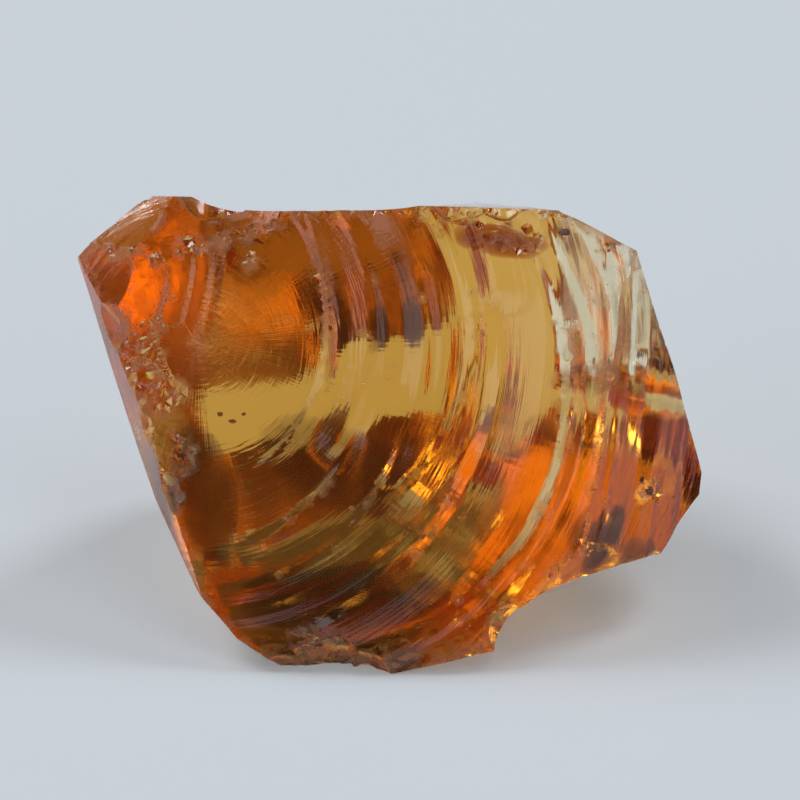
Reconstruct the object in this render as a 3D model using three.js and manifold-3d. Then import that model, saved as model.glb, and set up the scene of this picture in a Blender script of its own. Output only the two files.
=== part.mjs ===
// Rough topaz: one lump of orange crystal, broken on every side and resting on the flat of its underside.
// It is shaped as such a lump is made, by breaking faces off a block: flat cleavages, bulging shells and hollow
// scars. The largest is a shell-like break whose ripples spread from its upper left.
//
// Every break is set out in the frame of that large face, in millimetres: x to its right, y up it, z out of it,
// with y = z = 0 along the front edge of the underside. The lump leans back on its underside, so the whole is
// turned by LEAN at the end into the part's frame: +X along the large face, +Y behind it, +Z up.

import * as THREE from "three";
import { mergeVertices } from "three/addons/utils/BufferGeometryUtils.js";
import Module from "manifold-3d";

const wasm = await Module();
wasm.setup();
const radians = THREE.MathUtils.degToRad;
const degrees = THREE.MathUtils.radToDeg;
const smooth = THREE.MathUtils.smoothstep;
const clamp = THREE.MathUtils.clamp;

// Driving dimensions.
const WIDTH = 22.4; // across the large face, from corner to corner
const HEIGHT = 17.2; // up the large face
const THICKNESS = 11; // from the large face to the keel at the rear
const LEAN = 30; // degrees that the large face leans back from upright

// A block that holds the whole lump, with room to break from on every side.
const BLOCK = { width: WIDTH + 4, height: HEIGHT + 4, depth: THICKNESS + 4 };
const BLOCK_CENTRE = [0, HEIGHT / 2, 1 - THICKNESS / 2];

// Each break is a sheet: it passes through the point at, and its outward side turns from the large face's own
// direction by tilt, towards azimuth (0 right, 90 up, 180 left, -90 down), both in degrees.
// bulge is the radius of a sheet that curves away. hollow is a scar that climbs by depth at its rims, along the
// direction of its tilt and across it, the more sharply the higher its power: [along, across, depth, power].
// notch is a scar whose two flat sides climb from a line across it, with the slopes of the lower and the upper.
// Without any, the sheet is flat.
const BREAKS = {
  underside: { at: [0, -0.25, 0], azimuth: -90, tilt: 90 + LEAN },

  // The rim of the large face, clockwise from its left corner.
  left_shoulder: { at: [-10.05, 16.1, -2], azimuth: 131, tilt: 100 },
  top: { at: [0, 16.88, -1], azimuth: 88.2, tilt: 87.6 },
  top_scoop: { at: [-2.3, 16.58, -1.2], azimuth: 90, tilt: 95, hollow: [14, 4, 0.33, 4] },
  top_right: { at: [7.5, 15.85, -1.5], azimuth: 62.5, tilt: 96.6 },
  right_upper: { at: [9.45, 13.4, -1.8], azimuth: 18.5, tilt: 95 },
  right_side: { at: [10.8, 9.7, -2.6], azimuth: 14, tilt: 95.4 },
  right_heel: { at: [11.22, 6.9, -4], azimuth: -6, tilt: 97.3 },
  right_foot: { at: [10.75, 5.7, -5], azimuth: -24, tilt: 96 },
  right_toe: { at: [10.1, 4.75, -5], azimuth: -42, tilt: 97 },
  under_scar: { at: [7.57, 3.75, -2.4], azimuth: -76, tilt: 96.8, hollow: [14, 3.3, 0.54, 4] },
  toe_right: { at: [1, 0.22, -0.6], azimuth: -78, tilt: 98 },
  toe_left: { at: [-4.5, 0.75, -0.8], azimuth: -124, tilt: 98 },
  lower_left: { at: [-6.1, 2.2, -1], azimuth: -139, tilt: 98 },
  left_lower: { at: [-7.25, 3.9, -1.2], azimuth: -150, tilt: 98 },
  left_middle: { at: [-8.46, 6.45, -2.4], azimuth: -160, tilt: 105.8 },
  left_side: { at: [-9.9, 10.9, -2.8], azimuth: -163.3, tilt: 108.6 },

  // Bevels that the large face meets along sharp edges.
  left_flank: { at: [-9.1, 10.4, -0.5], azimuth: -162, tilt: 75 },
  right_flank: { at: [8.45, 11.5, -0.7], azimuth: -5.2, tilt: 38.4, bulge: 60 },
  right_bevel: { at: [7.9, 5.15, -0.9], azimuth: -48, tilt: 50, hollow: [3, 5, 0.6, 2] },
  corner_facet: { at: [-9.3, 14.5, -0.75], azimuth: 171.8, tilt: 44, hollow: [5, 2, 0.5, 2] },
  corner_chip: { at: [-9.6, 12.9, -0.9], azimuth: -150, tilt: 50, hollow: [2, 1.6, 0.8, 2] },
  crown_left: { at: [-8.6, 16.1, -1.2], azimuth: 124.5, tilt: 52.5, hollow: [5, 6, 0.6, 2] },
  crown_flake: { at: [-6.9, 15.25, -0.55], azimuth: 97.1, tilt: 31.6, hollow: [8, 4.6, 0.9, 2] },

  // The rear: a keel and a block stand out of it, with scars between and below them.
  keel: { at: [-3.5, 8.77, -10.43], azimuth: 100, tilt: 174 },
  rear_block: { at: [4.4, 13, -9.7], azimuth: 21.3, tilt: 165.5 },
  rear_crown: { at: [-1.4, 11.16, -10.63], azimuth: 102, tilt: 135, hollow: [20, 4.35, 1, 8] },
  middle_groove: { at: [2.88, 10.6, -9.35], azimuth: 0, tilt: 180, hollow: [0.9, 2.6, 1, 2] },
  rear_corner: { at: [-6.2, 10.6, -10.03], azimuth: 135, tilt: 133, bulge: 150 },
  rear_glow: { at: [-4.82, 11.96, -8.89], azimuth: 96.8, tilt: 140, hollow: [30, 2.6, 1, 8] },
  rear_scar: { at: [-5, 4.8, -7.73], azimuth: -76, tilt: 184.3, notch: [8, 0.97], hollow: [100, 8.2, 1, 8] },
  rear_slope: { at: [4.5, 9.4, -10.44], azimuth: -50, tilt: 134 },
  rear_left: { at: [-8, 8, -8.59], azimuth: -166.4, tilt: 132.4, bulge: 60 },
  pale_window: { at: [7.23, 13.59, -2.71], azimuth: 0, tilt: 171.8, hollow: [1.45, 3.11, 0.6, 8] },

  // The large face, from the point that its ripples spread from.
  large_face: { at: [-6, 11.5, -0.22], azimuth: 153, tilt: 4.6, bulge: 70, relief: ripples },
};

// Ripples of the large face, each an arc of a circle round its own centre, in that face's frame. Going outwards,
// the face climbs by drop over fall, steeply, then sinks back gently over back.
const RIPPLES = [
  { centre: [-8.46, 12.6], radius: 6.4, from: -47, to: 33, fall: 0.2, drop: 0.1, back: 0.8 },
  { centre: [-7.4, 12.4], radius: 7.6, from: -14, to: 40, fall: 0.8, drop: 0.16, back: 1.4 },
  { centre: [-6, 12.1], radius: 6.6, from: -14, to: 40, fall: 0.6, drop: 0.1, back: 0.7 },
  { centre: [-4.5, 12.1], radius: 7.5, from: -50, to: 40, fall: 0.4, drop: 0.12, back: 1.2 },
  { centre: [-6.97, 11.76], radius: 11, from: -62, to: 5, fall: 0.55, drop: 0.28, back: 1.8 },
  { centre: [-3.5, 10.37], radius: 10, from: -78, to: 38, fall: 0.35, drop: 0.18, back: 1 },
  { centre: [-3.5, 10.37], radius: 10.9, from: -60, to: 30, fall: 0.35, drop: 0.18, back: 1.2 },
  { centre: [-2.5, 10.37], radius: 11.1, from: -40, to: 35, fall: 0.3, drop: 0.12, back: 1.2 },
  { centre: [-8.46, 12.6], radius: 7.8, from: -32, to: 34, fall: 1.2, drop: 0.26, back: 1 },
  { centre: [-8.47, 12.32], radius: 11.7, from: -2, to: 18, fall: 0.35, drop: 0.1, back: 0.8 },
  { centre: [-4.74, 10.04], radius: 11.21, from: -30, to: 8, fall: 0.3, drop: 0.12, back: 0.8 },
];
const RIPPLE_FADE = 1.2; // how far a ripple runs on, dying away, past each of its ends

// Round chips knocked off the edges: each is as deep as depth at the point at, seen from azimuth and tilt.
const CHIPS = [
  { at: [-2.1, 0.75, -0.5], azimuth: -90, tilt: 50, radius: 1.6, depth: 0.4 },
  { at: [-0.9, 0.5, -0.5], azimuth: -80, tilt: 50, radius: 1, depth: 0.25 },
  { at: [-3.5, 0.45, -0.6], azimuth: -105, tilt: 55, radius: 1.1, depth: 0.25 },
  { at: [3.9, 1.9, -0.9], azimuth: -30, tilt: 65, radius: 0.9, depth: 0.25 },
  { at: [2.6, 16.7, -0.7], azimuth: 90, tilt: 45, radius: 1.2, depth: 0.3 },
  { at: [4, 16.65, -0.8], azimuth: 85, tilt: 50, radius: 0.9, depth: 0.22 },
  { at: [-6.2, 16.7, -1.7], azimuth: 90, tilt: 60, radius: 1.5, depth: 0.25 },
  { at: [-10, 12.5, -1.1], azimuth: -170, tilt: 60, radius: 1.3, depth: 0.35 },
  { at: [-9.4, 11, -0.8], azimuth: -165, tilt: 55, radius: 1, depth: 0.25 },
  { at: [-8.7, 8.8, -0.7], azimuth: -160, tilt: 55, radius: 0.9, depth: 0.22 },
  { at: [-7.9, 6.6, -0.6], azimuth: -158, tilt: 55, radius: 1.2, depth: 0.28 },
];

// Sheets are square slabs, finely divided out to SHEET_FINE, except the large face, which is a disc of rings.
const SHEET_REACH = 30; // half the side of a sheet
const SHEET_BODY = 16; // thickness of what the sheet takes away
const SHEET_FINE = 13; // half the side of its finely divided middle
const SHEET_CELLS = 44; // divisions across that middle
const RINGS = 60; // divisions of the large face along a radius
const RINGS_REACH = 16.5; // radius of its finely divided middle
const SPOKES = 60;

function ripples(x, y) {
  let height = 0;
  for (const { centre, radius, from, to, fall, drop, back } of RIPPLES) {
    const out = Math.hypot(x - centre[0], y - centre[1]) - radius;
    const turn = degrees(Math.atan2(y - centre[1], x - centre[0]));
    const fade = degrees(RIPPLE_FADE / radius);
    const shown = smooth(turn, from - fade, from) * (1 - smooth(turn, to, to + fade));
    height += drop * shown * clamp(1 + out / fall, 0, 1) * (1 - smooth(out, 0, back));
  }
  return height;
}

// How far a break's sheet stands above its own plane at a point of it.
function rise({ at, azimuth, bulge, hollow, notch, relief }, x, y) {
  let height = 0;
  if (bulge) height -= (x * x + y * y) / (2 * bulge);
  if (hollow) {
    const [along, across, depth, power] = hollow;
    height += depth * (Math.abs(x / along) ** power + Math.abs(y / across) ** power);
  }
  if (notch) height += Math.abs(x) * (x < 0 ? notch[0] : notch[1]);
  if (relief) {
    const turn = radians(azimuth);
    height += relief(
      at[0] + x * Math.cos(turn) - y * Math.sin(turn),
      at[1] + x * Math.sin(turn) + y * Math.cos(turn),
    );
  }
  return Math.min(height, SHEET_BODY / 2);
}

function squareSlab(cells) {
  const side = cells > 1 ? 2 * SHEET_FINE : 2 * SHEET_REACH;
  const slab = new THREE.BoxGeometry(side, side, SHEET_BODY, cells, cells, 1);
  slab.translate(0, 0, SHEET_BODY / 2);
  const points = slab.getAttribute("position");
  const outwards = (value) => (Math.abs(value) > side / 2 - 0.01 ? Math.sign(value) * SHEET_REACH : value);
  for (let i = 0; i < points.count; i++) {
    points.setX(i, outwards(points.getX(i)));
    points.setY(i, outwards(points.getY(i)));
  }
  return slab;
}

function roundSlab() {
  const profile = [];
  for (let i = 0; i <= RINGS; i++) profile.push(new THREE.Vector2((RINGS_REACH * i) / RINGS, 0));
  profile.push(new THREE.Vector2(SHEET_REACH, 0));
  profile.push(new THREE.Vector2(SHEET_REACH, SHEET_BODY));
  profile.push(new THREE.Vector2(0, SHEET_BODY));
  return new THREE.LatheGeometry(profile, SPOKES).rotateX(radians(90));
}

// A three.js geometry as a manifold-3d solid.
function solidOf(geometry) {
  const bare = new THREE.BufferGeometry().setAttribute("position", geometry.getAttribute("position"));
  if (geometry.index) bare.setIndex(geometry.index);
  const merged = mergeVertices(bare, 1e-5);
  const corners = merged.index.array;
  const kept = [];
  for (let i = 0; i < corners.length; i += 3) {
    const [a, b, c] = corners.slice(i, i + 3);
    if (a !== b && b !== c && c !== a) kept.push(a, b, c);
  }
  return new wasm.Manifold(
    new wasm.Mesh({
      numProp: 3,
      vertProperties: merged.attributes.position.array,
      triVerts: new Uint32Array(kept),
    }),
  );
}

// What one break takes away: a slab whose near side is the break's sheet.
function breakAway(one) {
  const slab = one.relief ? roundSlab() : squareSlab(one.bulge || one.hollow ? SHEET_CELLS : 1);
  const points = slab.getAttribute("position");
  for (let i = 0; i < points.count; i++) {
    if (points.getZ(i) > SHEET_BODY / 2) continue;
    points.setZ(i, rise(one, points.getX(i), points.getY(i)));
  }
  slab.rotateY(radians(one.tilt)).rotateZ(radians(one.azimuth)).translate(...one.at);
  return solidOf(slab);
}

// The ball that knocks one chip off.
function chipAway({ at, azimuth, tilt, radius, depth }) {
  const ball = new THREE.IcosahedronGeometry(radius, 3);
  ball.translate(0, 0, radius - depth);
  ball.rotateY(radians(tilt)).rotateZ(radians(azimuth)).translate(...at);
  return solidOf(ball);
}

function lump() {
  const block = new THREE.BoxGeometry(BLOCK.width, BLOCK.height, BLOCK.depth);
  block.translate(...BLOCK_CENTRE);
  const away = [...Object.values(BREAKS).map(breakAway), ...CHIPS.map(chipAway)];
  return away.reduce((left, one) => left.subtract(one), solidOf(block));
}

// A manifold-3d solid as a three.js geometry.
function geometryOf(solid) {
  const { vertProperties, triVerts } = solid.getMesh();
  return new THREE.BufferGeometry()
    .setAttribute("position", new THREE.BufferAttribute(vertProperties, 3))
    .setIndex(new THREE.BufferAttribute(triVerts, 1));
}

const stone = geometryOf(lump());
stone.rotateX(radians(90 - LEAN));
stone.computeBoundingBox();
const { min, max } = stone.boundingBox;
stone.translate(-(min.x + max.x) / 2, -(min.y + max.y) / 2, -min.z);

const topaz = new THREE.Mesh(
  stone,
  new THREE.MeshStandardMaterial({ color: 0xb8620f, roughness: 0.08, metalness: 0 }),
);
topaz.name = "topaz";

const part = new THREE.Group();
part.add(topaz);
export default part;
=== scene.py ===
"""Rough topaz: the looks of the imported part, on a pale surface in soft light."""

import math

import bmesh
import bpy
import numpy as np
from mathutils import Matrix, Vector, bvhtree, kdtree, noise


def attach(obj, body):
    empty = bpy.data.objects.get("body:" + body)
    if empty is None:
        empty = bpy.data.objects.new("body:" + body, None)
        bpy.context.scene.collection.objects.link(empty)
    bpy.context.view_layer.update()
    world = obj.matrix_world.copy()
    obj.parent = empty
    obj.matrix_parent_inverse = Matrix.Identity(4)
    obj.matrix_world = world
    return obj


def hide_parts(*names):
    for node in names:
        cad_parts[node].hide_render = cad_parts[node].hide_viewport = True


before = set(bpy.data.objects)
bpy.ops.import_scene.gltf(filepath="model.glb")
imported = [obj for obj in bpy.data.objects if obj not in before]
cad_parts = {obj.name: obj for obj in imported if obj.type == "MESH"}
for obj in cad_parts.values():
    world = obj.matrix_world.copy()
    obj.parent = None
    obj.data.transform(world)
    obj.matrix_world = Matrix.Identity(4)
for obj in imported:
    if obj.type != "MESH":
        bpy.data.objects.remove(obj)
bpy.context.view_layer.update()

MM = 0.001
LEAN = 30.0  # degrees that the large face leans back, and that the camera looks down

# ---------------------------------------------------------------------------
# What the stone is broken from, and by: the part's own breaks, ripples and chips. Everything is in
# millimetres in the frame of the large face: x to its right, y up it, z out of it.
# ---------------------------------------------------------------------------

BLOCK_SIZE = (26.4, 21.2, 15.0)
BLOCK_CENTRE = (0.0, 8.6, -4.5)
SHEET_REACH = 30.0  # half the side of the sheet that a break follows
SHEET_BODY = 16.0  # how far out from its sheet a break takes the block away
SHEET_FINE = 13.0  # half the side of a sheet's finely divided middle
SHEET_CELL = 0.3  # the side of the squares in it

# Each break lies at a point of the stone and looks out of it, tilted away from where the large face looks
# and towards an azimuth, both in degrees. What lies outside its sheet goes. A flat sheet is plain, and any
# other is a little uneven, and more so by its relief. bulge domes a sheet with that radius. hollow dishes it:
# (along, across, depth, power) has it risen by depth at the distance along or across, as that power of the
# distance. notch folds it into a V, by the slope on each side. striae ribs it. polar gives it the ripples
# instead of relief, on a mesh with that radius, so many rings and so many spokes.
BREAKS = {
    "underside": dict(at=(0, -0.25, 0), azimuth=-90, tilt=90 + LEAN, flat=True),
    "left_shoulder": dict(at=(-10.05, 16.1, -2), azimuth=131, tilt=100),
    "top": dict(at=(0, 16.88, -1), azimuth=88.2, tilt=87.6),
    "top_scoop": dict(at=(-2.3, 16.58, -1.2), azimuth=90, tilt=95, hollow=(14, 4, 0.33, 4)),
    "top_right": dict(at=(7.5, 15.85, -1.5), azimuth=62.5, tilt=96.6),
    "right_upper": dict(at=(9.45, 13.4, -1.8), azimuth=18.5, tilt=95),
    "right_side": dict(at=(10.8, 9.7, -2.6), azimuth=14, tilt=95.4),
    "right_heel": dict(at=(11.22, 6.9, -4), azimuth=-6, tilt=97.3),
    "right_foot": dict(at=(10.75, 5.7, -5), azimuth=-24, tilt=96),
    "right_toe": dict(at=(10.1, 4.75, -5), azimuth=-42, tilt=97),
    "under_scar": dict(at=(7.57, 3.75, -2.4), azimuth=-76, tilt=96.8, hollow=(14, 3.3, 0.54, 4)),
    "toe_right": dict(at=(1, 0.22, -0.6), azimuth=-78, tilt=98),
    "toe_left": dict(at=(-4.5, 0.75, -0.8), azimuth=-124, tilt=98),
    "lower_left": dict(at=(-6.1, 2.2, -1), azimuth=-139, tilt=98),
    "left_lower": dict(at=(-7.25, 3.9, -1.2), azimuth=-150, tilt=98),
    "left_middle": dict(at=(-8.46, 6.45, -2.4), azimuth=-160, tilt=105.8),
    "left_side": dict(at=(-9.9, 10.9, -2.8), azimuth=-163.3, tilt=108.6),
    "left_flank": dict(at=(-9.1, 10.4, -0.5), azimuth=-162, tilt=75),
    "right_flank": dict(at=(8.45, 11.5, -0.7), azimuth=-5.2, tilt=38.4, bulge=60, striae=True),
    "right_bevel": dict(at=(7.9, 5.15, -0.9), azimuth=-48, tilt=50, hollow=(3, 5, 0.6, 2)),
    "corner_facet": dict(at=(-9.3, 14.5, -0.75), azimuth=171.8, tilt=44, hollow=(5, 2, 0.5, 2)),
    "corner_chip": dict(at=(-9.6, 12.9, -0.9), azimuth=-150, tilt=50, hollow=(2, 1.6, 0.8, 2)),
    "crown_left": dict(at=(-8.6, 16.1, -1.2), azimuth=124.5, tilt=52.5, hollow=(5, 6, 0.6, 2)),
    "crown_flake": dict(at=(-6.9, 15.25, -0.55), azimuth=97.1, tilt=31.6, hollow=(8, 4.6, 0.9, 2)),
    "keel": dict(at=(-3.5, 8.77, -10.43), azimuth=100, tilt=174),
    "rear_block": dict(at=(4.4, 13, -9.7), azimuth=21.3, tilt=165.5),
    "rear_crown": dict(at=(-1.4, 11.16, -10.63), azimuth=102, tilt=135, hollow=(20, 4.35, 1, 8)),
    "middle_groove": dict(at=(2.88, 10.6, -9.35), azimuth=0, tilt=180, hollow=(0.9, 2.6, 1, 2)),
    "rear_corner": dict(at=(-6.2, 10.6, -10.03), azimuth=135, tilt=133, bulge=150),
    "rear_glow": dict(at=(-4.82, 11.96, -8.89), azimuth=96.8, tilt=140, hollow=(30, 2.6, 1, 8)),
    "rear_scar": dict(at=(-5, 4.8, -7.73), azimuth=-76, tilt=184.3, notch=(8, 0.97), hollow=(100, 8.2, 1, 8)),
    "rear_slope": dict(at=(4.5, 9.4, -10.44), azimuth=-50, tilt=134, relief=2.5),
    "rear_left": dict(at=(-8, 8, -8.59), azimuth=-166.4, tilt=132.4, bulge=60),
    "pale_window": dict(at=(7.23, 13.59, -2.71), azimuth=0, tilt=171.8, hollow=(1.45, 3.11, 0.6, 8)),
    "large_face": dict(at=(-6, 11.5, -0.22), azimuth=153, tilt=4.6, bulge=70, polar=(16.5, 165, 540)),
}

# Ripples of the large face, each an arc: the x and y of its centre, its radius, the turns it runs from and to
# in degrees, and its fall, drop and back. Going outwards, the face climbs steeply by drop, over the last
# stretch of fall before the radius, then sinks again gently over back.
RIPPLES = [
    (-8.46, 12.6, 6.4, -47, 33, 0.2, 0.1, 0.8),
    (-7.4, 12.4, 7.6, -14, 40, 0.8, 0.16, 1.4),
    (-6.0, 12.1, 6.6, -14, 40, 0.6, 0.1, 0.7),
    (-4.5, 12.1, 7.5, -50, 40, 0.4, 0.12, 1.2),
    (-6.97, 11.76, 11, -62, 5, 0.55, 0.28, 1.8),
    (-3.5, 10.37, 10, -78, 38, 0.35, 0.18, 1.0),
    (-3.5, 10.37, 10.9, -60, 30, 0.35, 0.18, 1.2),
    (-2.5, 10.37, 11.1, -40, 35, 0.3, 0.12, 1.2),
    (-14.42, 12.27, 12.3, -8, 18, 0.2, 0.08, 0.5),
    (-8.46, 12.6, 7.8, -32, 34, 1.2, 0.26, 1.0),
    (-7.77, 11.64, 9.3, -6, 14, 0.2, 0.06, 0.5),
    (-8.47, 12.32, 11.7, -2, 18, 0.35, 0.1, 0.8),
    (-8.24, 11.97, 7.96, -62, -30, 0.25, 0.09, 0.7),
    (-6.96, 10.74, 7.82, -76, -22, 0.25, 0.09, 0.7),
    (-6.82, 13.01, 10.94, -80, -32, 0.25, 0.09, 0.7),
    (-4.74, 10.04, 11.21, -30, 8, 0.3, 0.12, 0.8),
    (-14.6, 11.79, 21.2, 1, 9, 0.4, 0.05, 0.7),
    (-14.6, 11.79, 22.1, -4, 8, 0.5, 0.06, 0.7),
    (-14.6, 11.79, 22.8, -15, 8, 0.3, 0.09, 0.6),
    (-16.0, 15.5, 9.85, -14, -4, 0.2, 0.06, 0.4),
    (-16.0, 15.5, 9.17, -15, -6, 0.2, 0.06, 0.4),
    (-16.0, 15.5, 8.32, -16, -12, 0.2, 0.06, 0.4),
]
RIPPLE_FADE = 1.2  # how far a ripple runs on, dying away, past each of its ends

# The fine ripples between them: their spacing, how far one runs in degrees, and their height.
RIPPLE_CENTRE = (-6.8, 11.9)
FINE_RIPPLES = [(1.3, 26, 0.012), (0.55, 20, 0.006), (0.28, 14, 0.0025)]
FINE_START = (0.5, 2.5)  # they come in over this stretch out from the centre
FINE_WANDER = (3.0, 0.4)  # they wander in and out over this length, by this much

# The relief of the breaks that are neither flat nor polar: its spacing and height.
RELIEF = [(3.4, 0.05), (1.2, 0.012)]

# The upright ribs of the right flank: their spacing, how long one is, and their height.
STRIAE = [(1.1, 9, 0.1), (0.45, 5, 0.06), (0.2, 3, 0.02)]
STRIAE_CELL = 0.1  # how finely a ribbed sheet is divided across them
NOISE_START = 500  # where in the noise the middle of a sheet lies

# Round chips knocked off the edges: place, azimuth, tilt, radius, depth.
CHIPS = [
    ((-2.1, 0.75, -0.5), -90, 50, 1.6, 0.4),
    ((-0.9, 0.5, -0.5), -80, 50, 1, 0.25),
    ((-3.5, 0.45, -0.6), -105, 55, 1.1, 0.25),
    ((3.9, 1.9, -0.9), -30, 65, 0.9, 0.25),
    ((2.6, 16.7, -0.7), 90, 45, 1.2, 0.3),
    ((4, 16.65, -0.8), 85, 50, 0.9, 0.22),
    ((-6.2, 16.7, -1.7), 90, 60, 1.5, 0.25),
    ((-10, 12.5, -1.1), -170, 60, 1.3, 0.35),
    ((-9.4, 11, -0.8), -165, 55, 1, 0.25),
    ((-8.7, 8.8, -0.7), -160, 55, 0.9, 0.22),
    ((-7.9, 6.6, -0.6), -158, 55, 1.2, 0.28),
]
CHIP_UNEVEN = 0.12  # how uneven a chip is, as a share of its radius
PEBBLE_BUMPS = 1.7  # how closely the bumps of an uneven ball follow each other
PEBBLE_ROOM = 1.2  # two balls further apart than this many times their radii together don't touch

# Small chips along every edge. Of two numbers, one is the least and the other how much more the most is.
EDGE_CHIPS = 220
EDGE_CHIP_RADIUS = (0.2, 0.8)
EDGE_CHIP_DEPTH = (0.08, 0.14)  # as a share of the radius
EDGE_CHIP_UNEVEN = 0.3
EDGE_CHIP_LARGE = 0.5  # chips from this radius up are divided more finely
EDGE_STEP = 0.15  # about how far apart the points are that an edge is sampled at

# Crushed places of the large face: a line from (x, y) to (x, y), half its width, and how many chips of up to
# what radius lie in it.
CRUSHED = [
    ((-9.5, 12.3), (-7.6, 9.7), 0.55, 120, 0.36),
    ((-7.4, 8.6), (-7.3, 7.0), 0.35, 30, 0.32),
    ((-8.6, 12.9), (-7.9, 12.4), 0.35, 12, 0.3),
    ((-4.6, 16.75), (8.0, 16.5), 0.16, 80, 0.4),
    ((2.6, 16.5), (5.4, 15.4), 0.5, 34, 0.5),
    ((-9.9, 15.0), (-7.0, 15.3), 0.3, 22, 0.35),
    ((-7.0, 15.3), (-3.6, 16.3), 0.2, 26, 0.3),
    ((-5.1, 15.05), (-4.8, 14.7), 0.2, 8, 0.3),
    ((-3.4, 1.2), (-0.8, 0.7), 0.5, 30, 0.45),
    ((9.3, 6.9), (9.8, 6.2), 0.25, 14, 0.3),
    ((6.3, 15.9), (6.4, 15.8), 0.1, 3, 0.2),
]
CRUSHED_RADIUS = (0.35, 0.65)  # the least, as a share of the largest radius, and how much more the most is
CRUSHED_LEAN = 0.5  # how far a chip may lean from the direction out of the face
CRUSHED_DEPTH = (0.15, 0.45)  # from and to, as a share of the radius
CRUSHED_UNEVEN = 0.5
ABOVE = 5  # a height well above the large face

# Specks just under the large face, the dark and rust ones of other minerals, and the pale one a bubble whose
# bright look is a painted highlight: x, y, depth, half-lengths and colour.
SPECKS = [
    # This pale speck is a bubble; its colour is a painted highlight, standing for the light a bubble gives
    # back.
    (-1.29, 6.0, 0.2, (0.12, 0.09, 0.07), "pale"),
    (-6.0, 9.35, 0.3, (0.1, 0.08, 0.05), "dark"),
    (-5.55, 9.1, 0.35, (0.14, 0.07, 0.05), "dark"),
    (-5.15, 9.35, 0.3, (0.07, 0.06, 0.05), "dark"),
    (6.3, 15.85, 0.15, (0.2, 0.14, 0.06), "rust"),
    (9.4, 6.6, 0.15, (0.14, 0.18, 0.05), "rust"),
    (9.1, 7.0, 0.15, (0.08, 0.12, 0.05), "rust"),
    (-4.35, 14.85, 0.1, (0.08, 0.05, 0.04), "dark"),
    (7.9, 15.2, 0.12, (0.05, 0.05, 0.04), "dark"),
]
# The pale colour is a painted highlight, standing in for the light a bubble gives back.
SPECK_COLOURS = {"pale": (0.75, 0.42, 0.16, 1), "dark": (0.45, 0.24, 0.07, 1), "rust": (0.24, 0.05, 0.015, 1)}
SPECK_UNEVEN = 0.3
SPECK_ROUGHNESS = 0.8

# Painted shade: balls of denser colour sealed in the stone, darkening it where it looks dark from shade; the
# stone is not known to hold them. Three broad ones lie along the foot, in the middle and at the left, a small
# one behind the bevel and one at the top edge. Each has its centre, half-lengths, turns about x and then z in
# degrees, and how much red, green and blue light it takes away in a metre.
SHADE_ZONES = [
    ((-1.6, 2.85, -2.5), (3.8, 1.1, 2.2), (20, 3), (380, 370, 220)),
    ((-1.7, 7.5, -4.3), (3.1, 1.5, 1.2), (18, -23), (300, 300, 180)),
    ((-6.5, 6.55, -2.65), (2.5, 1.1, 1.95), (9, -80), (370, 360, 200)),
    ((6.9, 5.3, -4.2), (1.15, 1.05, 0.45), (126, 53), (1000, 1000, 800)),
    ((4.0, 15.55, -1.3), (1.7, 0.6, 0.5), (0, -8), (900, 1900, 2500)),
]
SHADE_ZONE_UNEVEN = 0.12

# Pits along the ripples, where the face is nearly level.
PITS = 90
PIT_RADIUS = 0.09  # the largest
PIT_SHARE = (0.4, 0.6)  # the smallest, as a share of that, and how much more the largest is
PIT_DEPTH = 0.5  # as a share of the radius
PIT_STRAY = 0.15  # how far they stray from a ripple's line
PIT_LEVEL = 0.8  # the least z, there, of the direction out of the face

# Cracks that run down into the large face: a line of points, with the radius and the depth of the groove.
CRACKS = [
    ([(-8.45, 12.55), (-8.3, 11.9), (-7.95, 11.0), (-7.6, 10.3)], 0.13, 0.12),
]
CRACK_STRAY = 0.03  # how far a crack strays from its line
CRACK_STEP = 0.6  # the least distance between its balls, as a share of their radius
CRACK_UNEVEN = 0.3

SHARP = 24.0  # degrees between two faces that make an edge
RIM = 0.85  # faces that look further out of the large face than this belong to its ripples
WEAR = (0.05, 0.3)  # how far from an edge its wear begins to fade, and where it ends


def step(x, low, high):
    """Smoothly from 0 at low to 1 at high."""
    t = np.clip((x - low) / (high - low), 0, 1)
    return t * t * (3 - 2 * t)


def value_noise(u, v, seed):
    """Smooth noise from -1 to 1 with about one bump to a unit of u or v."""
    size = 64
    table = np.random.default_rng(seed).uniform(-1, 1, (size, size))
    i, j = np.floor(u).astype(int), np.floor(v).astype(int)
    s, t = step(u - i, 0, 1), step(v - j, 0, 1)
    i, j, i_next, j_next = i % size, j % size, (i + 1) % size, (j + 1) % size
    near = table[i, j] * (1 - s) + table[i_next, j] * s
    far = table[i, j_next] * (1 - s) + table[i_next, j_next] * s
    return near * (1 - t) + far * t


def ripples(x, y):
    height = np.zeros_like(x)
    for cx, cy, radius, start, end, fall, drop, back in RIPPLES:
        out = np.hypot(x - cx, y - cy) - radius
        turn = np.degrees(np.arctan2(y - cy, x - cx))
        fade = math.degrees(RIPPLE_FADE / radius)
        shown = step(turn, start - fade, start) * (1 - step(turn, end, end + fade))
        height += drop * shown * np.clip(1 + out / fall, 0, 1) * (1 - step(out, 0, back))
    return height


def fine_ripples(x, y):
    dx, dy = x - RIPPLE_CENTRE[0], y - RIPPLE_CENTRE[1]
    out = np.hypot(dx, dy)
    shown = step(out, *FINE_START)
    length, most = FINE_WANDER
    out = out + most * value_noise(x / length, y / length, 1)
    turn = np.degrees(np.arctan2(dy, dx)) + 360
    height = np.zeros_like(x)
    for seed, (spacing, run, size) in enumerate(FINE_RIPPLES):
        height += size * shown * value_noise(out / spacing, turn / run, 10 + seed)
    return height


def relief(x, y, seed):
    height = np.zeros_like(x)
    for number, (spacing, size) in enumerate(RELIEF):
        bumps = value_noise(x / spacing + NOISE_START, y / spacing + NOISE_START, 100 + 10 * seed + number)
        height += size * bumps
    return height


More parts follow.
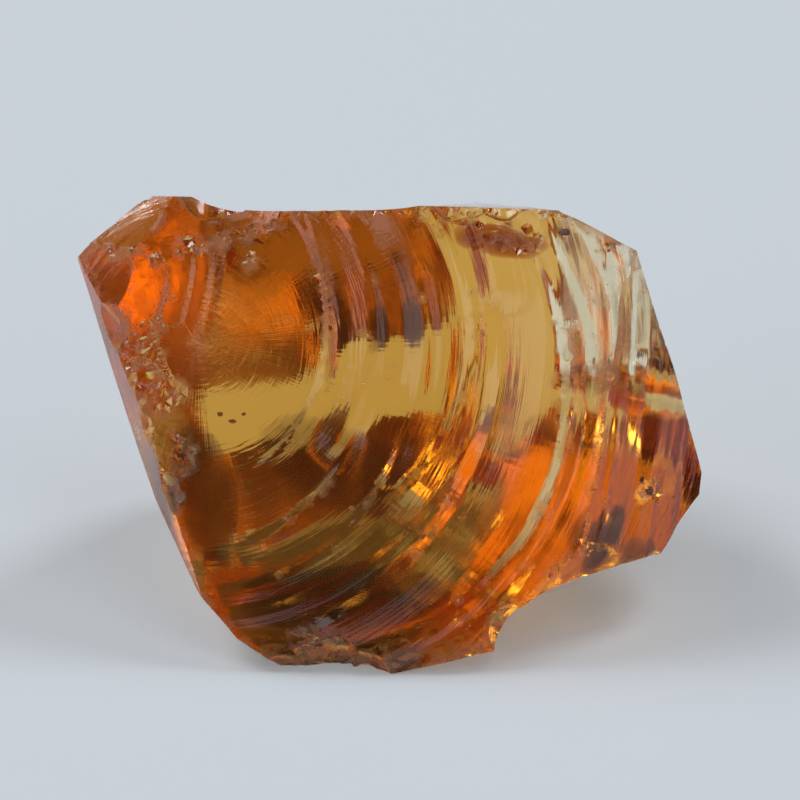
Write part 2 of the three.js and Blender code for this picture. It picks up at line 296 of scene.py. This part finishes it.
def striae(x, y):
    """Upright ribs across a face: x runs across them."""
    height = np.zeros_like(x)
    for seed, (spacing, run, size) in enumerate(STRIAE):
        height += size * value_noise(x / spacing + NOISE_START, y / run + NOISE_START, 40 + seed)
    return height


def sheet_height(one, seed, x, y):
    """How far out a break's sheet is at (x, y)."""
    height = np.zeros_like(x)
    if "bulge" in one:
        height -= (x * x + y * y) / (2 * one["bulge"])
    if "hollow" in one:
        along, across, depth, power = one["hollow"]
        height += depth * (np.abs(x / along) ** power + np.abs(y / across) ** power)
    if "notch" in one:
        below, beyond = one["notch"]
        height += np.where(x < 0, -below, beyond) * x
    if "polar" in one:
        turn = math.radians(one["azimuth"])
        fx = one["at"][0] + x * math.cos(turn) - y * math.sin(turn)
        fy = one["at"][1] + x * math.sin(turn) + y * math.cos(turn)
        height += ripples(fx, fy) + fine_ripples(fx, fy)
    elif "flat" not in one:
        height += one.get("relief", 1) * relief(x, y, seed)
    if "striae" in one:
        height += striae(x, y)
    return np.minimum(height, SHEET_BODY / 2)


def mesh_object(name, points, faces):
    mesh = bpy.data.meshes.new(name)
    mesh.from_pydata(np.asarray(points).tolist(), [], faces)
    mesh.validate()
    obj = bpy.data.objects.new(name, mesh)
    bpy.context.scene.collection.objects.link(obj)
    return obj


def polar_slab(one, seed):
    """A slab whose near side is a sheet divided into rings and spokes."""
    core, rings, spokes = one["polar"]
    radii = np.append(np.linspace(0, core, rings + 1)[1:], SHEET_REACH)
    angle = np.linspace(0, 2 * math.pi, spokes, endpoint=False)
    r, a = np.meshgrid(radii, angle, indexing="ij")
    x = np.append((r * np.cos(a)).ravel(), 0.0)
    y = np.append((r * np.sin(a)).ravel(), 0.0)
    near = np.column_stack([x, y, sheet_height(one, seed, x, y)])
    middle = len(radii) * spokes
    outer = middle - spokes
    lid = near[outer:middle].copy()
    lid[:, 2] = SHEET_BODY
    base = len(near)
    j = np.arange(spokes)
    k = (j + 1) % spokes
    faces = list(zip([middle] * spokes, k.tolist(), j.tolist()))
    for start in range(0, outer, spokes):
        p, q = start + j, start + k
        faces += np.column_stack([p, q, q + spokes, p + spokes]).tolist()
    faces += np.column_stack([outer + j, outer + k, base + k, base + j]).tolist()
    faces.append((base + j).tolist())
    return np.vstack([near, lid]), faces


def square_slab(one, seed):
    """A slab whose near side is a sheet divided into squares."""
    if "flat" in one:
        line = np.array([-SHEET_REACH, SHEET_REACH])
    else:
        middle = np.arange(-SHEET_FINE, SHEET_FINE + SHEET_CELL / 2, SHEET_CELL)
        line = np.concatenate([[-SHEET_REACH], middle, [SHEET_REACH]])
    across = line
    if "striae" in one:
        middle = np.arange(-SHEET_FINE / 2, SHEET_FINE / 2, STRIAE_CELL)
        across = np.concatenate([[-SHEET_REACH], middle, [SHEET_REACH]])
    m, n = len(across), len(line)
    x, y = (grid.ravel() for grid in np.meshgrid(across, line, indexing="ij"))
    near = np.column_stack([x, y, sheet_height(one, seed, x, y)])
    rim = [i * n for i in range(m)]
    rim += [(m - 1) * n + j for j in range(1, n)]
    rim += [i * n + n - 1 for i in range(m - 2, -1, -1)]
    rim += list(range(n - 2, 0, -1))
    far = near[rim].copy()
    far[:, 2] = SHEET_BODY
    base, sides = m * n, len(rim)
    i, j = np.meshgrid(np.arange(m - 1), np.arange(n - 1), indexing="ij")
    p = (i * n + j).ravel()
    faces = np.column_stack([p, p + 1, p + n + 1, p + n]).tolist()
    for s in range(sides):
        after = (s + 1) % sides
        faces.append([rim[s], rim[after], base + after, base + s])
    faces.append(list(range(base, base + sides)))
    return np.vstack([near, far]), faces


def facing(at, azimuth, tilt):
    """The matrix that turns a sheet's +Z to tilt from the large face, towards azimuth, and moves it to at."""
    turn = Matrix.Rotation(math.radians(azimuth), 4, "Z") @ Matrix.Rotation(math.radians(tilt), 4, "Y")
    return np.array(Matrix.Translation(Vector(at)) @ turn)


def sheet_cutter(name, one, seed):
    """What one break takes away: a slab whose near side is the break's sheet."""
    points, faces = (polar_slab if "polar" in one else square_slab)(one, seed)
    matrix = facing(one["at"], one["azimuth"], one["tilt"])
    return mesh_object("cut_" + name, points @ matrix[:3, :3].T + matrix[:3, 3], faces)


def block():
    corners = [(x, y, z) for x in (-0.5, 0.5) for y in (-0.5, 0.5) for z in (-0.5, 0.5)]
    points = np.array(corners) * BLOCK_SIZE + BLOCK_CENTRE
    faces = [(0, 1, 3, 2), (4, 6, 7, 5), (0, 4, 5, 1), (2, 3, 7, 6), (0, 2, 6, 4), (1, 5, 7, 3)]
    return mesh_object("topaz_stone", points, faces)


def cut_away(obj, tools):
    """Cut the tools from the object, and delete them."""
    for tool in tools:
        cut = obj.modifiers.new(tool.name, "BOOLEAN")
        cut.operation = "DIFFERENCE"
        cut.solver = "MANIFOLD"
        cut.object = tool
    bpy.context.view_layer.update()
    made = bpy.data.meshes.new_from_object(obj.evaluated_get(bpy.context.evaluated_depsgraph_get()))
    obj.modifiers.clear()
    obj.data = made
    for tool in tools:
        bpy.data.objects.remove(tool)


def pebble(centre, radius, detail, rough, seed):
    """A ball with an uneven surface: its points and its triangles."""
    shape = bmesh.new()
    bmesh.ops.create_icosphere(shape, subdivisions=detail, radius=1)
    points = np.array([v.co for v in shape.verts])
    faces = np.array([[v.index for v in f.verts] for f in shape.faces])
    shape.free()
    uneven = np.array([noise.noise(Vector(p) * PEBBLE_BUMPS + Vector((seed, 0, 0))) for p in points])
    return centre + points * (radius * (1 + rough * uneven))[:, None], faces


def pebbles(name, places):
    """Balls (centre, radius, detail, rough) in as few objects as hold no two that touch."""
    batches = []
    for seed, (centre, radius, detail, rough) in enumerate(places):
        for batch in batches:
            if all(np.linalg.norm(centre - c) > PEBBLE_ROOM * (radius + r) for c, r, *_ in batch):
                break
        else:
            batch = []
            batches.append(batch)
        batch.append((centre, radius, detail, rough, seed))
    objects = []
    for batch in batches:
        points, faces, count = [], [], 0
        for one in batch:
            p, f = pebble(*one)
            points.append(p)
            faces += (f + count).tolist()
            count += len(p)
        objects.append(mesh_object(name, np.vstack(points), faces))
    return objects


def knocked_chips():
    """The balls that knock the round chips off."""
    places = []
    for at, azimuth, tilt, radius, depth in CHIPS:
        centre = facing(at, azimuth, tilt) @ (0, 0, radius - depth, 1)
        places.append((centre[:3], radius, 4, CHIP_UNEVEN))
    return pebbles("chip", places)


def edge_points(mesh):
    """Points along the stone's edges, with the direction out of each."""
    shape = bmesh.new()
    shape.from_mesh(mesh)
    found = []
    for edge in shape.edges:
        sharp = len(edge.link_faces) == 2 and edge.calc_face_angle(0) > math.radians(SHARP)
        if sharp and min(face.normal.z for face in edge.link_faces) < RIM:
            a, b = (np.array(v.co) for v in edge.verts)
            out = np.array(edge.link_faces[0].normal + edge.link_faces[1].normal)
            count = max(1, int(np.linalg.norm(b - a) / EDGE_STEP))
            for i in range(count):
                found.append((*(a + (b - a) * (i + 0.5) / count), *(out / (np.linalg.norm(out) + 1e-9))))
    shape.free()
    return np.array(found)


def edge_chips(mesh):
    rng = np.random.default_rng(5)
    found = edge_points(mesh)
    smallest, larger = EDGE_CHIP_RADIUS
    shallowest, deeper = EDGE_CHIP_DEPTH
    places = []
    for at in found[rng.choice(len(found), EDGE_CHIPS, replace=False)]:
        radius = smallest + larger * rng.random() ** 3
        depth = radius * (shallowest + deeper * rng.random())
        centre = at[:3] + at[3:] * (radius - depth)
        places.append((centre, radius, 2 if radius < EDGE_CHIP_LARGE else 3, EDGE_CHIP_UNEVEN))
    return pebbles("edge_chip", places)


def on_face(tree, x, y):
    """The point of the stone straight below (x, y), with the direction out of it."""
    hit, normal, *_ = tree.ray_cast(Vector((x, y, ABOVE)), Vector((0, 0, -1)))
    return (np.array(hit), np.array(normal)) if hit else (None, None)


def face_tree(mesh):
    shape = bmesh.new()
    shape.from_mesh(mesh)
    tree = bvhtree.BVHTree.FromBMesh(shape)
    shape.free()
    return tree


def crushed_places(rng, tree):
    """Glassy chips with flat sides, close together."""
    places = []
    smallest, larger = CRUSHED_RADIUS
    for start, end, half, count, largest in CRUSHED:
        start, end = np.array(start), np.array(end)
        along = (end - start) / np.linalg.norm(end - start)
        aside = np.array([-along[1], along[0]])
        for _ in range(count):
            x, y = start + (end - start) * rng.random() + aside * half * rng.uniform(-1, 1)
            radius = largest * (smallest + larger * rng.random())
            at, normal = on_face(tree, x, y)
            if at is not None:
                lean = normal + CRUSHED_LEAN * rng.uniform(-1, 1, 3)
                centre = at + lean * radius * (1 - rng.uniform(*CRUSHED_DEPTH))
                places.append((centre, radius, 1, CRUSHED_UNEVEN))
    return places


def pit_places(rng, tree):
    places = []
    smallest, larger = PIT_SHARE
    for _ in range(PITS):
        cx, cy, radius, start, end, *_ = RIPPLES[rng.integers(len(RIPPLES))]
        turn, out = math.radians(rng.uniform(start, end)), radius + rng.normal(0, PIT_STRAY)
        at, normal = on_face(tree, cx + out * math.cos(turn), cy + out * math.sin(turn))
        if at is not None and normal[2] > PIT_LEVEL:
            radius = PIT_RADIUS * (smallest + larger * rng.random())
            places.append((at + normal * radius * PIT_DEPTH, radius, 1, CRUSHED_UNEVEN))
    return places


def crack_places(rng, tree):
    places = []
    for line, radius, depth in CRACKS:
        for a, b in zip(line, line[1:]):
            a, b = np.array(a), np.array(b)
            count = int(np.linalg.norm(b - a) / (CRACK_STEP * radius))
            for i in range(count):
                stray = CRACK_STRAY * rng.uniform(-1, 1, 2)
                at, normal = on_face(tree, *(a + (b - a) * i / count + stray))
                if at is not None:
                    places.append((at + normal * (radius - depth), radius, 2, CRACK_UNEVEN))
    return places


def crushed_chips(mesh):
    """The crushed places, pits and cracks of the large face, in this order of random draws."""
    rng = np.random.default_rng(8)
    tree = face_tree(mesh)
    places = crushed_places(rng, tree) + pit_places(rng, tree) + crack_places(rng, tree)
    return pebbles("crushed_chip", places)


def points_of(mesh):
    points = np.empty(len(mesh.vertices) * 3)
    mesh.vertices.foreach_get("co", points)
    return points.reshape(-1, 3)


def edge_distance(mesh, points):
    """How far each point is from the nearest of the stone's edges."""
    found = edge_points(mesh)[:, :3]
    tree = kdtree.KDTree(len(found))
    for number, at in enumerate(found):
        tree.insert(at, number)
    tree.balance()
    return np.array([tree.find(p)[2] for p in points])


stone = block()
cut_away(stone, [sheet_cutter(name, one, seed) for seed, (name, one) in enumerate(BREAKS.items())])
cut_away(stone, knocked_chips())
cut_away(stone, edge_chips(stone.data))
cut_away(stone, crushed_chips(stone.data))

made = stone.data
points = points_of(made)
tree = face_tree(made)
speck_places = [(np.array(on_face(tree, x, y)[0]) - (0, 0, depth), *rest) for x, y, depth, *rest in SPECKS]
wear = 1 - step(edge_distance(made, points), *WEAR)

# Into the part's frame: the large face leans back, the middle of the stone stands over the origin, and its
# foot is at z = 0.
turn = np.array(Matrix.Rotation(math.radians(90 - LEAN), 3, "X"))
points = points @ turn.T
low, high = points.min(0), points.max(0)
OFFSET = np.array([-(low[0] + high[0]) / 2, -(low[1] + high[1]) / 2, -low[2]])
points = (points + OFFSET) * MM
made.vertices.foreach_set("co", points.astype(np.float32).ravel())
made.polygons.foreach_set("use_smooth", [True] * len(made.polygons))
made.attributes.new("wear", "FLOAT", "POINT").data.foreach_set("value", wear.astype(np.float32))
made.set_sharp_from_angle(angle=math.radians(SHARP))
made.update()


def place(x, y):
    """The point (x, y, 0) of the large face's frame, as a point in metres of the part's frame."""
    return Vector(tuple((turn @ np.array([x, y, 0]) + OFFSET) * MM))


def specks():
    """One object for each colour of speck, each speck an uneven ball drawn out to its own half-lengths."""
    objects = []
    for colour, rgba in SPECK_COLOURS.items():
        chosen = [(at, size) for at, size, name in speck_places if name == colour]
        all_points, faces = [], []
        for seed, (at, size) in enumerate(chosen):
            ball, triangles = pebble(np.zeros(3), 1, 3, SPECK_UNEVEN, 50 + seed)
            faces += (triangles + sum(len(p) for p in all_points)).tolist()
            all_points.append(((ball * size + at) @ turn.T + OFFSET) * MM)
        speck = mesh_object("speck_" + colour, np.vstack(all_points), faces)
        material = bpy.data.materials.new("speck_" + colour)
        material.use_nodes = True
        shader = material.node_tree.nodes["Principled BSDF"]
        shader.inputs["Base Color"].default_value = rgba
        shader.inputs["Roughness"].default_value = SPECK_ROUGHNESS
        speck.data.materials.append(material)
        objects.append(speck)
    return objects


def shade_zones():
    """Each zone is painted shade: a smooth ball drawn out, clear but for its colour, and so soft at its rim.
    """
    objects = []
    for seed, (at, size, turns, taken) in enumerate(SHADE_ZONES):
        name = "zone_%d" % (seed + 1)
        ball, triangles = pebble(np.zeros(3), 1, 4, SHADE_ZONE_UNEVEN, 70 + seed)
        lean, spin = (Matrix.Rotation(math.radians(angle), 3, axis) for angle, axis in zip(turns, "XZ"))
        zone_points = ball * size @ np.array(spin @ lean).T + at
        zone = mesh_object(name, (zone_points @ turn.T + OFFSET) * MM, triangles.tolist())
        zone.data.polygons.foreach_set("use_smooth", [True] * len(zone.data.polygons))
        # The painted shade: what the zone's colour and density take from light passing through it.
        strongest = max(taken)
        colour = (*(1 - amount / strongest for amount in taken), 1)
        material = clear_material(name, SHADE_ZONE_IOR, colour, strongest)
        material.node_tree.nodes["Principled BSDF"].inputs["Roughness"].default_value = 0.0
        zone.data.materials.append(material)
        objects.append(zone)
    return objects


# ---------------------------------------------------------------------------
# Materials
# ---------------------------------------------------------------------------

CRYSTAL_IOR = 1.62
SHADE_ZONE_IOR = 1.0  # light goes straight on into a zone and out of it

# The crystal takes away the density times (1 - colour) of red, green and blue light in a metre.
ABSORPTION_COLOUR = (0.966, 0.71, 0.0, 1)
ABSORPTION_DENSITY = 251.0

# Bumps of the crystal's surface: spacing, run in radians, detail and height.
ARCS = (0.16, 0.35, 2.0, 0.02)  # the finest ripples
HACKLES = (2.2, 0.022, 1.0, 0.006)  # the fine lines across them
STREAK_DEPTH = 3.0  # over how much of the stone's depth either of them changes

# Its roughness: mottled everywhere, and more where a worn edge is bruised. A noise is its scale and detail.
MOTTLED_NOISE = (0.45, 4.0)
MOTTLED_ROUGHNESS = 0.28
BRUISED_NOISE = (1.8, 3.0)
BRUISED_RANGE = (0.42, 0.6)  # the noise at which a bruise begins, and at which it is full
BRUISED_ROUGHNESS = 0.4
FRONT = (-4.0, -2.0)  # z from which roughness grows, and z from which it is full
REAR_SHARE = 0.15  # the share of it behind the first of them


def math_node(nodes, links, operation, a, b=0.0):
    node = nodes.new("ShaderNodeMath")
    node.operation = operation
    for socket, value in zip(node.inputs, (a, b)):
        if isinstance(value, (int, float)):
            socket.default_value = value
        else:
            links.new(value, socket)
    return node.outputs[0]


def clear_material(name, ior, colour, density):
    """See-through, and coloured only by what its inside absorbs."""
    material = bpy.data.materials.new(name)
    material.use_nodes = True
    nodes, links = material.node_tree.nodes, material.node_tree.links
    shader = nodes["Principled BSDF"]
    shader.inputs["Base Color"].default_value = (1, 1, 1, 1)
    shader.inputs["IOR"].default_value = ior
    shader.inputs["Transmission Weight"].default_value = 1.0
    absorb = nodes.new("ShaderNodeVolumeAbsorption")
    absorb.inputs["Color"].default_value = colour
    absorb.inputs["Density"].default_value = density
    links.new(absorb.outputs["Volume"], nodes["Material Output"].inputs["Volume"])
    return material


def crystal_material():
    material = clear_material("topaz", CRYSTAL_IOR, ABSORPTION_COLOUR, ABSORPTION_DENSITY)
    nodes, links = material.node_tree.nodes, material.node_tree.links
    shader = nodes["Principled BSDF"]

    def noise_texture(vector, scale, detail):
        texture = nodes.new("ShaderNodeTexNoise")
        texture.inputs["Scale"].default_value = scale
        texture.inputs["Detail"].default_value = detail
        links.new(vector, texture.inputs["Vector"])
        return texture.outputs[0]

    def ranged(value, low, high, least=0.0):
        """From least at low to 1 at high."""
        node = nodes.new("ShaderNodeMapRange")
        node.inputs["From Min"].default_value = low
        node.inputs["From Max"].default_value = high
        node.inputs["To Min"].default_value = least
        links.new(value, node.inputs["Value"])
        return node.outputs[0]

    # Polar coordinates round the point that the ripples spread from, in millimetres and radians.
    coordinates = nodes.new("ShaderNodeTexCoord").outputs["Object"]
    to_face = nodes.new("ShaderNodeMapping")
    to_face.inputs["Scale"].default_value = (1 / MM, 1 / MM, 1 / MM)
    to_face.inputs["Rotation"].default_value = (math.radians(LEAN - 90), 0, 0)
    centre = turn.T @ -OFFSET - np.array([*RIPPLE_CENTRE, 0])
    to_face.inputs["Location"].default_value = tuple(centre)
    links.new(coordinates, to_face.inputs["Vector"])
    parts = nodes.new("ShaderNodeSeparateXYZ")
    links.new(to_face.outputs["Vector"], parts.inputs["Vector"])
    x, y, z = parts.outputs
    x_squared = math_node(nodes, links, "POWER", x, 2.0)
    y_squared = math_node(nodes, links, "POWER", y, 2.0)
    out = math_node(nodes, links, "SQRT", math_node(nodes, links, "ADD", x_squared, y_squared))
    around = math_node(nodes, links, "ARCTAN2", y, x)

    def streaks(spacing, run, detail):
        """Noise drawn out round the centre (run in radians) and spaced in millimetres away from it."""
        vector = nodes.new("ShaderNodeCombineXYZ")
        links.new(math_node(nodes, links, "DIVIDE", out, spacing), vector.inputs["X"])
        links.new(math_node(nodes, links, "DIVIDE", around, run), vector.inputs["Y"])
        links.new(math_node(nodes, links, "DIVIDE", z, STREAK_DEPTH), vector.inputs["Z"])
        return noise_texture(vector.outputs["Vector"], 1.0, detail)

    normal = None
    for *shape, height in (ARCS, HACKLES):
        bump = nodes.new("ShaderNodeBump")
        bump.inputs["Distance"].default_value = height * MM
        links.new(streaks(*shape), bump.inputs["Height"])
        if normal is not None:
            links.new(normal, bump.inputs["Normal"])
        normal = bump.outputs["Normal"]
    links.new(normal, shader.inputs["Normal"])

    worn = nodes.new("ShaderNodeAttribute")
    worn.attribute_name = "wear"
    broken = ranged(noise_texture(to_face.outputs["Vector"], *BRUISED_NOISE), *BRUISED_RANGE)
    bruised = math_node(nodes, links, "MULTIPLY", worn.outputs["Fac"], broken)
    dull = math_node(nodes, links, "MULTIPLY", bruised, BRUISED_ROUGHNESS)
    patches = noise_texture(to_face.outputs["Vector"], *MOTTLED_NOISE)
    mottled = math_node(nodes, links, "MULTIPLY", patches, MOTTLED_ROUGHNESS)
    front = ranged(z, *FRONT, REAR_SHARE)
    rough = math_node(nodes, links, "MULTIPLY", math_node(nodes, links, "ADD", dull, mottled), front)
    links.new(rough, shader.inputs["Roughness"])
    return material


made.materials.clear()
made.materials.append(crystal_material())

pale = bpy.data.materials.new("pale_surface")
pale.use_nodes = True
surface = pale.node_tree.nodes["Principled BSDF"]
surface.inputs["Base Color"].default_value = (0.57, 0.64, 0.72, 1)
# Its pale colour is its own; its faint glow is painted light, lightening the shadows on it and the stone from
# below.
surface.inputs["Emission Color"].default_value = (0.83, 0.92, 1.0, 1)
surface.inputs["Emission Strength"].default_value = 0.15
surface.inputs["Roughness"].default_value = 0.6

# ---------------------------------------------------------------------------
# Stage, light and camera
# ---------------------------------------------------------------------------

AIR_GAP = 0.03 * MM  # the stone touches the surface only here and there, so its underside still mirrors
FLOOR_SIZE = 3.0  # these three are in metres
LIGHT_DISTANCE = 0.7
CAMERA_DISTANCE = 0.30
SENSOR = 36.0  # in millimetres

# The photograph that the camera repeats: its side and the place in it of the large face's origin, in pixels,
# and how many pixels a millimetre of that face takes.
PHOTO_SIDE = 800
PHOTO_ORIGIN = (388, 676)
PHOTO_SCALE = 28.0

bpy.ops.mesh.primitive_plane_add(size=FLOOR_SIZE, location=(0, 0, -AIR_GAP))
floor = bpy.context.object
floor.name = "floor"
floor.data.materials.append(pale)


def box_light(name, direction, size, radiance):
    """A softbox that faces the origin from a direction, given by its radiance."""
    light = bpy.data.lights.new(name, "AREA")
    light.shape = "RECTANGLE"
    light.size, light.size_y = size
    light.energy = radiance * math.pi * size[0] * size[1]
    obj = bpy.data.objects.new(name, light)
    obj.location = Vector(direction).normalized() * LIGHT_DISTANCE
    obj.rotation_euler = (-obj.location).to_track_quat("-Z", "Y").to_euler()
    bpy.context.scene.collection.objects.link(obj)


box_light("left", (-0.808, -0.486, 0.332), (0.65, 0.5), 1.19)
box_light("right", (0.57, -0.66, 0.48), (0.38, 0.34), 0.94)
box_light("front_top", (0.337, -0.318, 0.886), (0.34, 0.34), 1.2)
box_light("rear_right", (0.48, 0.313, 0.82), (0.24, 0.24), 7.57)
box_light("rear_left", (-0.576, 0.312, 0.756), (0.28, 0.28), 8.5)

scene = bpy.context.scene
world = bpy.data.worlds.new("studio")
scene.world = world
world.use_nodes = True
background = world.node_tree.nodes["Background"]
background.inputs["Color"].default_value = (1.0, 0.73, 0.45, 1)
background.inputs["Strength"].default_value = 0.099

camera = bpy.data.objects.new("camera", bpy.data.cameras.new("camera"))
scene.collection.objects.link(camera)
scene.camera = camera
across, down = PHOTO_ORIGIN
aim = place((PHOTO_SIDE / 2 - across) / PHOTO_SCALE, (down - PHOTO_SIDE / 2) / PHOTO_SCALE)
back = Vector((0, -math.cos(math.radians(LEAN)), math.sin(math.radians(LEAN))))
camera.location = aim + back * CAMERA_DISTANCE
camera.rotation_euler = (-back).to_track_quat("-Z", "Y").to_euler()
camera.data.sensor_width = SENSOR
camera.data.lens = SENSOR * CAMERA_DISTANCE / (PHOTO_SIDE / PHOTO_SCALE * MM)
camera.data.clip_start = 0.005
camera.data.clip_end = 10.0

scene.view_settings.view_transform = "Standard"
scene.cycles.max_bounces = 28
scene.cycles.transmission_bounces = 28
scene.cycles.glossy_bounces = 8
scene.cycles.transparent_max_bounces = 16
scene.cycles.volume_bounces = 2

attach(stone, "root")
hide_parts("topaz")
# The specks, and the balls of painted shade, go with the stone.
for inside in specks() + shade_zones():
    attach(inside, "root")
